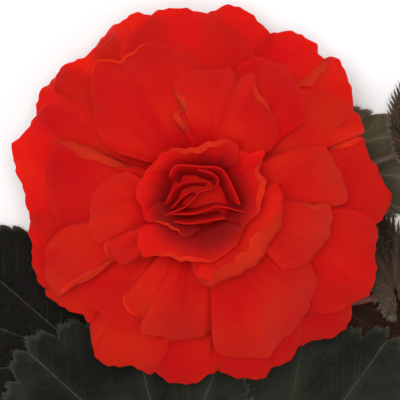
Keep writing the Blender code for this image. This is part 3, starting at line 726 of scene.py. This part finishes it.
def leaf_reach(leaf, turn):
    body = BACK_LOBE + (1 - BACK_LOBE) * ((1 + np.cos(turn)) / 2) ** LOBE_POWER
    return leaf.length * (body + TIP_POINT * np.exp(-((np.degrees(turn) / TIP_WIDTH) ** 2)))


def leaf_veins(turn, spread):
    """Distance along and away from the nearest of the main veins that fan out from the stalk."""
    gaps = np.stack([turn - math.radians(v) for v in VEIN_TURNS])
    nearest = np.argmin(np.abs(gaps), axis=0)
    gap = np.take_along_axis(gaps, nearest[None], axis=0)[0]
    return spread * np.cos(gap), np.abs(spread * np.sin(gap))


def zigzag(beat):
    """From -1 up to 1 and back again, once for each beat."""
    return 1 - 2 * np.abs(2 * (beat % 1) - 1)


def leaf_edge(leaf, across, age):
    """How far the margin stands out or in, as a share of the reach."""
    beat = (across + 1) * leaf.teeth
    drift = LOBE_DRIFT * np.sin(LOBE_DRIFT_TURN * across)
    lobe = 2 * np.abs(np.sin(np.pi * LOBES_PER_TOOTH * (beat + drift))) ** LOBE_ROUNDING - 1
    if age is YOUNG:
        finger = zigzag(FINGERS_PER_TOOTH * beat + FINGER_START)
        return leaf.tooth * (YOUNG_FINGER * finger + YOUNG_LOBE * lobe)
    return leaf.tooth * (GROWN_TOOTH * zigzag(beat) + GROWN_LOBE * lobe)


def leaf_grid(leaf, age):
    """A blade's sheet of points from stalk to margin, with out, across and the way to the veins."""
    rows, columns = age.grid
    out = np.linspace(0, 1, rows) ** LEAF_ROW_POWER
    out, across = np.meshgrid(out, np.linspace(-1, 1, columns), indexing="ij")
    turn = math.radians(SINUS) * across
    reach = leaf_reach(leaf, turn) * (1 + leaf_edge(leaf, across, age) * out**TOOTH_POWER)
    spread = LEAF_START + out * (reach - LEAF_START)
    wide = np.where(across > 0, leaf.left_side, leaf.right_side)
    along, side = spread * np.cos(turn), spread * np.sin(turn) * wide
    heading = math.radians(leaf.heading)
    x = leaf.base[0] + along * math.cos(heading) - side * math.sin(heading)
    y = leaf.base[1] + along * math.sin(heading) + side * math.cos(heading)
    share = np.minimum(np.hypot(along, side) / leaf.length, 1)
    height = leaf.droop_to + (leaf.base[2] - leaf.droop_to) * (1 - share) ** DROOP_POWER
    height += leaf.wave * (1 + np.sin(LEAF_WAVE_TURN * across + leaf.heading)) * out**LEAF_WAVE_POWER
    height += leaf.fold * np.abs(side)
    if leaf.over_stem:
        hump = leaf.over_stem * np.exp(-(((x - stem_line_x(y)) / HUMP_WIDTH) ** 2))
        height = (height**HUMP_POWER + hump**HUMP_POWER) ** (1 / HUMP_POWER)
    vein_along, vein_away = leaf_veins(turn, spread)
    pucker = PUCKER * (1 - np.exp(-((vein_away / PUCKER_WIDTH) ** 2)))
    chevron = (vein_along - VEIN_SLANT * vein_away) / VEIN_SPACING
    pucker *= 1 - PUCKER_RIPPLE + PUCKER_RIPPLE * np.cos(2 * np.pi * chevron)
    height += pucker * np.minimum(out * PUCKER_START, 1) * (1 - out**PUCKER_END_POWER)
    height = np.maximum(height, LOWEST)
    return np.stack([x, y, height], axis=2), out, across, vein_along, vein_away


def spikes(name, roots, ways, lengths, radius, look, carrier):
    """Fine hairs: three-sided spikes from each root along its way, in millimetres."""
    ways = np.array(ways)
    ways /= np.linalg.norm(ways, axis=1, keepdims=True)
    aside = np.cross(ways, ASIDE)
    aside /= np.linalg.norm(aside, axis=1, keepdims=True)
    third = np.cross(ways, aside)
    turns = [2 * math.pi * k / 3 for k in range(3)]
    corners = [roots + radius * (math.cos(t) * aside + math.sin(t) * third) for t in turns]
    tips = roots + ways * np.asarray(lengths)[:, None]
    tips = np.clip(tips, BOX_LOW + HAIR_MARGIN, BOX_HIGH - HAIR_MARGIN)
    points = np.stack([*corners, tips], axis=1).reshape(-1, 3)
    start = 4 * np.arange(len(roots))[:, None]
    faces = np.concatenate([start + np.array(f) for f in ((0, 1, 3), (1, 2, 3), (2, 0, 3), (2, 1, 0))])
    piece = new_piece(name, place(points), faces, look)
    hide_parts(carrier)


def leaf_hairs(name, grid, age, draw, look):
    """Hairs along the margin and scattered over the upper face."""
    rows, columns = grid.shape[:2]
    facing, _ = grid_normals(grid)
    out_way = grid[-1] - grid[-1 - MARGIN_ROWS]
    out_way /= np.linalg.norm(out_way, axis=1, keepdims=True)
    roots, ways, lengths = [], [], []
    for _ in range(age.margin_hairs):
        spot = draw.uniform(0, columns - GRID_END)
        j, share = int(spot), spot % 1
        roots.append(grid[-1, j] * (1 - share) + grid[-1, j + 1] * share)
        way = [draw.gauss(0, MARGIN_SPREAD), draw.gauss(0, MARGIN_SPREAD), draw.uniform(0.0, MARGIN_LIFT)]
        ways.append(out_way[j] + way)
        lengths.append(age.hair_length * draw.uniform(*MARGIN_LENGTHS))
    for _ in range(age.face_hairs):
        i = draw.randrange(rows // BARE_PART, rows - 1)
        j = draw.randrange(columns - 1)
        share = draw.random()
        root = grid[i, j] * (1 - share) + grid[i, j + 1] * share
        roots.append(root + ROOT_RISE * LEAF_THICKNESS * facing[i, j])
        ways.append(facing[i, j] + [draw.gauss(0, FACE_SPREAD), draw.gauss(0, FACE_SPREAD), 0.0])
        lengths.append(age.hair_length * draw.uniform(*FACE_LENGTHS))
    roots = np.array(roots)
    roots[:, 2] = np.maximum(roots[:, 2], HAIR_MARGIN)
    spikes(name + "_hairs", roots, ways, lengths, age.hair_radius, look, name)


def make_leaves(looks, hair):
    draw = random.Random(SEED + 1)
    for name, leaf in LEAVES.items():
        young = "young" in name
        age = YOUNG if young else GROWN
        grid, out, across, vein_along, vein_away = leaf_grid(leaf, age)
        slot = "young_leaf" if young else "leaf_underside" if name == "leaf_right" else "leaf"
        look = looks[LEAF_LOOKS.get(name, slot)]
        values = {"rim": out, "across": across, "vein_along": vein_along, "vein_away": vein_away}
        piece = sheet(name + "_blade", grid, LEAF_THICKNESS, look, values)
        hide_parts(name)
        leaf_hairs(name, grid, age, draw, hair)


def make_tube(name, route, look):
    """A round stalk along a route, with ribs and knots that fade at its two ends."""
    line = smooth_line(route, STEM_STEPS)
    centre, radius = line[:, :3], line[:, 3]
    ahead = np.gradient(centre, axis=0)
    ahead /= np.linalg.norm(ahead, axis=1, keepdims=True)
    level = np.cross(ahead, (0, 0, 1))
    level[np.linalg.norm(level, axis=1) < UPRIGHT] = (1.0, 0, 0)
    level -= (level * ahead).sum(axis=1, keepdims=True) * ahead
    level /= np.linalg.norm(level, axis=1, keepdims=True)
    upward = np.cross(level, ahead)
    turn = np.linspace(0, 2 * np.pi, STEM_SIDES, endpoint=False)
    run = np.linspace(0, 1, len(centre))
    ribs = STEM_RIB * np.sin(STEM_RIBS * turn)[None, :]
    knots = STEM_KNOT * np.sin(STEM_KNOT_TURN * run + STEM_KNOT_START)[:, None]
    bulge = 1 + (ribs + knots) * np.sin(np.pi * run)[:, None]
    beside = np.cos(turn)[None, :, None] * level[:, None, :]
    above = np.sin(turn)[None, :, None] * upward[:, None, :]
    grid = centre[:, None, :] + radius[:, None, None] * (bulge[..., None] * (beside + above))
    grid = np.maximum(grid, BOX_LOW + STEM_MARGIN)
    points = np.concatenate([grid.reshape(-1, 3), centre[:1], centre[-1:]])
    values = {"rim": np.concatenate([np.repeat(run, STEM_SIDES), (0, 1)])}
    piece = new_piece(name, place(points), tube_faces(len(centre), STEM_SIDES), look, values)
    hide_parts("stem")


def make_stem(looks):
    for name, route in STEMS.items():
        make_tube(name, route, looks[STEM_LOOKS.get(name, "stem")])


# Looks

# Colours of each leaf's blade, its paler patches and its veins
LEAF_COLOURS = {
    "leaf": [(0.004, 0.004, 0.0024, 1), (0.022, 0.022, 0.015, 1), (0.05, 0.058, 0.038, 1)],
    "leaf_dark": [(0.0018, 0.001, 0.0006, 1), (0.006, 0.0046, 0.0032, 1), (0.055, 0.062, 0.04, 1)],
    # a lighter, olive copy of the leaf colours: painted light on one leaf
    "leaf_painted_lit": [(0.055, 0.042, 0.023, 1), (0.14, 0.12, 0.072, 1), (0.24, 0.21, 0.14, 1)],
    "leaf_underside": [(0.015, 0.0045, 0.003, 1), (0.034, 0.011, 0.007, 1), (0.07, 0.03, 0.02, 1)],
    "young_leaf": [(0.02, 0.014, 0.009, 1), (0.075, 0.055, 0.036, 1), (0.12, 0.045, 0.03, 1)],
}

# Colours of each stem's redder and greener patches
STEM_COLOURS = {
    "stem": [(0.17, 0.045, 0.03, 1), (0.16, 0.1, 0.035, 1)],
    "young_stem": [(0.075, 0.04, 0.024, 1), (0.06, 0.048, 0.026, 1)],
}

# A petal's colour, its painted light and its relief
# orange at the very rim: partly the petal's own colour, partly painted highlight
RIM_ORANGE_AND_HIGHLIGHT = 0.45
HIGHLIGHT_PATCHES = 0.8  # share of a petal's painted highlight that comes in patches
LINES_ACROSS = 26.0
LINES_OUT = 2.0
LINE_RELIEF = 0.5
PORE_RELIEF = 0.1

# How strongly each kind of line and patch shows on a leaf
MAIN_VEIN = 0.75
BRANCH_VEIN = 0.3
VEIN_NET = 0.05
LEAF_RIM = 0.7
VEIN_HALO = 0.28
PALE_PATCHES = 0.75
LINE_DEPTH = 0.6
GRAIN_RELIEF = 0.5
VEIN_BEND = 1.6  # millimetres by which the side veins stray
MAIN_BEND = 0.3  # share of that by which the main ones do

# Sockets of a colour Mix node, which share their names with sockets of other kinds
MIX_A = 6
MIX_B = 7
MIX_RESULT = 2


class Nodes:
    """Short ways to add nodes to a material."""

    def __init__(self, name):
        self.material = bpy.data.materials.new(name)
        self.material.use_nodes = True
        self.tree = self.material.node_tree
        self.shader = self.tree.nodes["Principled BSDF"]

    def set(self, name, value):
        self.shader.inputs[name].default_value = value

    def add(self, kind, **settings):
        node = self.tree.nodes.new(kind)
        for key, value in settings.items():
            setattr(node, key, value)
        return node

    def link(self, source, target):
        self.tree.links.new(source, target)

    def fill(self, socket, value):
        if isinstance(value, bpy.types.NodeSocket):
            self.link(value, socket)
        else:
            socket.default_value = value

    def maths(self, operation, a, b=0.0):
        node = self.add("ShaderNodeMath", operation=operation)
        self.fill(node.inputs[0], a)
        self.fill(node.inputs[1], b)
        return node.outputs[0]

    def plus(self, a, b):
        return self.maths("ADD", a, b)

    def times(self, a, b):
        return self.maths("MULTIPLY", a, b)

    def larger(self, a, b):
        return self.maths("MAXIMUM", a, b)

    def attribute(self, name):
        return self.add("ShaderNodeAttribute", attribute_name=name).outputs["Fac"]

    def place_in_piece(self):
        return self.add("ShaderNodeTexCoord").outputs["Object"]

    def noise(self, scale, detail, roughness=0.55, vector=None):
        node = self.add("ShaderNodeTexNoise")
        node.inputs["Scale"].default_value = scale
        node.inputs["Detail"].default_value = detail
        node.inputs["Roughness"].default_value = roughness
        if vector is None:
            vector = self.place_in_piece()
        self.link(vector, node.inputs["Vector"])
        return node.outputs["Fac"]

    def ramp(self, value, low, high):
        """0 at low and 1 at high, smooth between and level beyond; low can be the larger one."""
        node = self.add("ShaderNodeMapRange", interpolation_type="SMOOTHSTEP")
        self.fill(node.inputs["Value"], value)
        node.inputs["From Min"].default_value = low
        node.inputs["From Max"].default_value = high
        return node.outputs["Result"]

    def mix(self, share, a, b):
        node = self.add("ShaderNodeMix", data_type="RGBA")
        self.fill(node.inputs["Factor"], share)
        self.fill(node.inputs[MIX_A], a)
        self.fill(node.inputs[MIX_B], b)
        return node.outputs[MIX_RESULT]

    def bump(self, height, distance):
        node = self.add("ShaderNodeBump")
        node.inputs["Distance"].default_value = distance
        self.link(height, node.inputs["Height"])
        self.link(node.outputs["Normal"], self.shader.inputs["Normal"])


def petal_look():
    make = Nodes("petal")
    scarlet = (0.67, 0.0078, 0.0064, 1)
    # the deeper red of the random patches, the petals' own colour
    deep_tone_and_shade = (0.61, 0.0036, 0.0066, 1)
    # orange of the rims, partly their own, and of the painted highlight
    orange_rim_and_highlight = (0.7, 0.0165, 0.0068, 1)
    # painted highlight on the rolled-over rims
    fold_highlight = (0.86, 0.022, 0.008, 1)
    # dark red of the painted shade in the eye and on the walls round it
    eye_shade_red = (0.27, 0.0075, 0.0078, 1)
    rim = make.attribute("rim")
    patches = make.ramp(make.noise(scale=60.0, detail=3.0), low=0.38, high=0.68)
    base = make.mix(patches, deep_tone_and_shade, scarlet)
    # the painted highlight comes in random patches
    cloud = make.ramp(make.noise(scale=70.0, detail=2.0, roughness=0.5), low=0.25, high=0.62)
    patchy = make.plus(make.times(cloud, HIGHLIGHT_PATCHES), 1 - HIGHLIGHT_PATCHES)
    warm = make.times(make.attribute("warm"), patchy)
    # whichever is stronger of the rims' orange, partly their own and partly painted highlight, and the
    # painted highlight
    edge = make.times(make.ramp(rim, low=0.88, high=1.03), RIM_ORANGE_AND_HIGHLIGHT)
    base = make.mix(make.larger(edge, warm), base, orange_rim_and_highlight)
    # painted highlight on the folds, then painted shade in and round the eye
    base = make.mix(make.attribute("fold"), base, fold_highlight)
    base = make.mix(make.attribute("deep_tone_and_shade"), base, eye_shade_red)
    make.link(base, make.shader.inputs["Base Color"])
    make.set("Roughness", 0.46)
    make.set("Specular IOR Level", 0.2)
    make.set("Specular Tint", (1.0, 0.16, 0.02, 1))
    make.set("Subsurface Weight", 0.75)
    make.set("Subsurface Radius", (1.0, 0.12, 0.08))
    make.set("Subsurface Scale", 0.004)
    line = make.add("ShaderNodeCombineXYZ")
    make.link(make.times(make.attribute("across"), LINES_ACROSS), line.inputs["X"])
    make.link(make.times(rim, LINES_OUT), line.inputs["Y"])
    fine = make.noise(scale=1.0, detail=3.0, roughness=0.6, vector=line.outputs[0])
    pores = make.noise(scale=1500.0, detail=2.0)
    relief = make.plus(make.times(fine, LINE_RELIEF), make.times(pores, PORE_RELIEF))
    make.bump(relief, distance=0.00012)
    return make.material


def leaf_look(name, blade, pale, vein):
    make = Nodes(name)
    along = make.attribute("vein_along")
    away = make.attribute("vein_away")
    bend = make.times(make.noise(scale=230.0, detail=2.0), VEIN_BEND)
    main = make.ramp(make.plus(away, make.times(bend, MAIN_BEND)), low=0.75, high=0.25)
    beat = make.maths("SUBTRACT", make.plus(along, bend), make.times(away, VEIN_SLANT))
    beat = make.maths("DIVIDE", beat, VEIN_SPACING)
    saw = make.maths("ABSOLUTE", make.maths("SUBTRACT", make.maths("FRACT", beat), 0.5))
    breaks = make.ramp(make.noise(scale=60.0, detail=2.0), low=0.42, high=0.62)
    branch = make.times(make.ramp(saw, low=0.05, high=0.01), breaks)
    lines = make.larger(make.times(main, MAIN_VEIN), make.times(branch, BRANCH_VEIN))
    net = make.add("ShaderNodeTexVoronoi", feature="DISTANCE_TO_EDGE")
    net.inputs["Scale"].default_value = 620.0
    make.link(make.place_in_piece(), net.inputs["Vector"])
    meshes = make.ramp(net.outputs["Distance"], low=0.12, high=0.02)
    lines = make.larger(lines, make.times(meshes, VEIN_NET))
    cloud = make.ramp(make.noise(scale=42.0, detail=4.0, roughness=0.6), low=0.38, high=0.68)
    halo = make.times(make.ramp(away, low=3.5, high=0.4), VEIN_HALO)
    base = make.mix(make.plus(halo, make.times(cloud, PALE_PATCHES)), blade, pale)
    edge = make.ramp(make.attribute("rim"), low=0.965, high=1.0)
    lines = make.larger(lines, make.times(edge, LEAF_RIM))
    make.link(make.mix(lines, base, vein), make.shader.inputs["Base Color"])
    make.set("Roughness", 0.6)
    make.set("Specular IOR Level", 0.06)
    grain = make.times(make.noise(scale=800.0, detail=3.0), GRAIN_RELIEF)
    make.bump(make.plus(make.times(lines, -LINE_DEPTH), grain), distance=0.0003)
    return make.material


def hair_look():
    make = Nodes("hair")
    pale = (0.22, 0.2, 0.14, 1)
    pink = (0.2, 0.1, 0.07, 1)
    patches = make.ramp(make.noise(scale=150.0, detail=2.0), low=0.4, high=0.65)
    make.link(make.mix(patches, pale, pink), make.shader.inputs["Base Color"])
    make.set("Roughness", 0.5)
    make.set("Specular IOR Level", 0.3)
    return make.material


def stem_look(name, red, green):
    make = Nodes(name)
    cut_end = (0.42, 0.4, 0.2, 1)
    patches = make.ramp(make.noise(scale=70.0, detail=3.0), low=0.4, high=0.65)
    base = make.mix(patches, red, green)
    base = make.mix(make.ramp(make.attribute("rim"), low=0.002, high=0.0005), base, cut_end)
    make.link(base, make.shader.inputs["Base Color"])
    make.set("Roughness", 0.5)
    make.set("Specular IOR Level", 0.3)
    make.bump(make.noise(scale=900.0, detail=3.0), distance=0.0002)
    return make.material


def floor_look():
    make = Nodes("floor")
    make.set("Base Color", (0.93, 0.93, 0.93, 1))
    make.set("Roughness", 0.9)
    return make.material


# Stage

FLOOR_HALF = 3.0  # metres
PIXEL = 0.3  # millimetres to a pixel of the 400 pixel frame, at the height of the outer rims
FRAME_PIXELS = 400
BLOOM_PIXEL = (201, 195)
RIM_LEVEL = 20.0
CAMERA_DISTANCE = 900.0
SENSOR_WIDTH = 36.0
CLIP_END = 20.0

# Lights: place round the bloom's middle and width in metres, then power
LIGHTS = {
    "top": ((-0.1, 0.1, 1.3), 0.8, 11.9),
    "key": ((-0.75, 0.75, 1.1), 0.7, 3.2),
    "fill": ((0.9, -0.5, 1.2), 1.2, 3.0),
}
BLOOM_MIDDLE = (0, 0, 30)  # millimetres
WORLD_STRENGTH = 0.43


def make_floor():
    corners = [(FLOOR_HALF * x, FLOOR_HALF * y, 0) for x, y in ((-1, -1), (1, -1), (1, 1), (-1, 1))]
    mesh = bpy.data.meshes.new("floor")
    mesh.from_pydata(corners, [], [(0, 1, 2, 3)])
    mesh.materials.append(floor_look())
    floor = add_object("floor", mesh)


def make_camera():
    camera = bpy.data.cameras.new("camera")
    camera.sensor_width = SENSOR_WIDTH
    camera.lens = SENSOR_WIDTH * CAMERA_DISTANCE / (PIXEL * FRAME_PIXELS)
    camera.clip_end = CLIP_END
    made = add_object("camera", camera)
    x = (FRAME_PIXELS / 2 - BLOOM_PIXEL[0]) * PIXEL
    y = (BLOOM_PIXEL[1] - FRAME_PIXELS / 2) * PIXEL
    made.location = place([(x, y, RIM_LEVEL + CAMERA_DISTANCE)])[0]
    bpy.context.scene.camera = made


def make_lights():
    middle = place([BLOOM_MIDDLE])[0]
    for name, (away, size, power) in LIGHTS.items():
        lamp = bpy.data.lights.new(name, "AREA")
        lamp.shape = "DISK"
        lamp.size = size
        lamp.energy = power
        made = add_object(name, lamp)
        made.location = middle + np.array(away)
        made.rotation_euler = (Vector(middle) - made.location).to_track_quat("-Z", "Y").to_euler()
    world = bpy.data.worlds.new("studio")
    world.use_nodes = True
    background = world.node_tree.nodes["Background"]
    background.inputs["Color"].default_value = (1, 1, 1, 1)
    background.inputs["Strength"].default_value = WORLD_STRENGTH
    bpy.context.scene.world = world
    bpy.context.scene.view_settings.view_transform = "Standard"


def main():
    petal = petal_look()
    make_petals(petal)
    make_eye_folds(petal)
    make_heart(petal)
    make_stem({name: stem_look(name, *colours) for name, colours in STEM_COLOURS.items()})
    make_leaves({name: leaf_look(name, *colours) for name, colours in LEAF_COLOURS.items()}, hair_look())
    make_floor()
    make_camera()
    make_lights()


main()
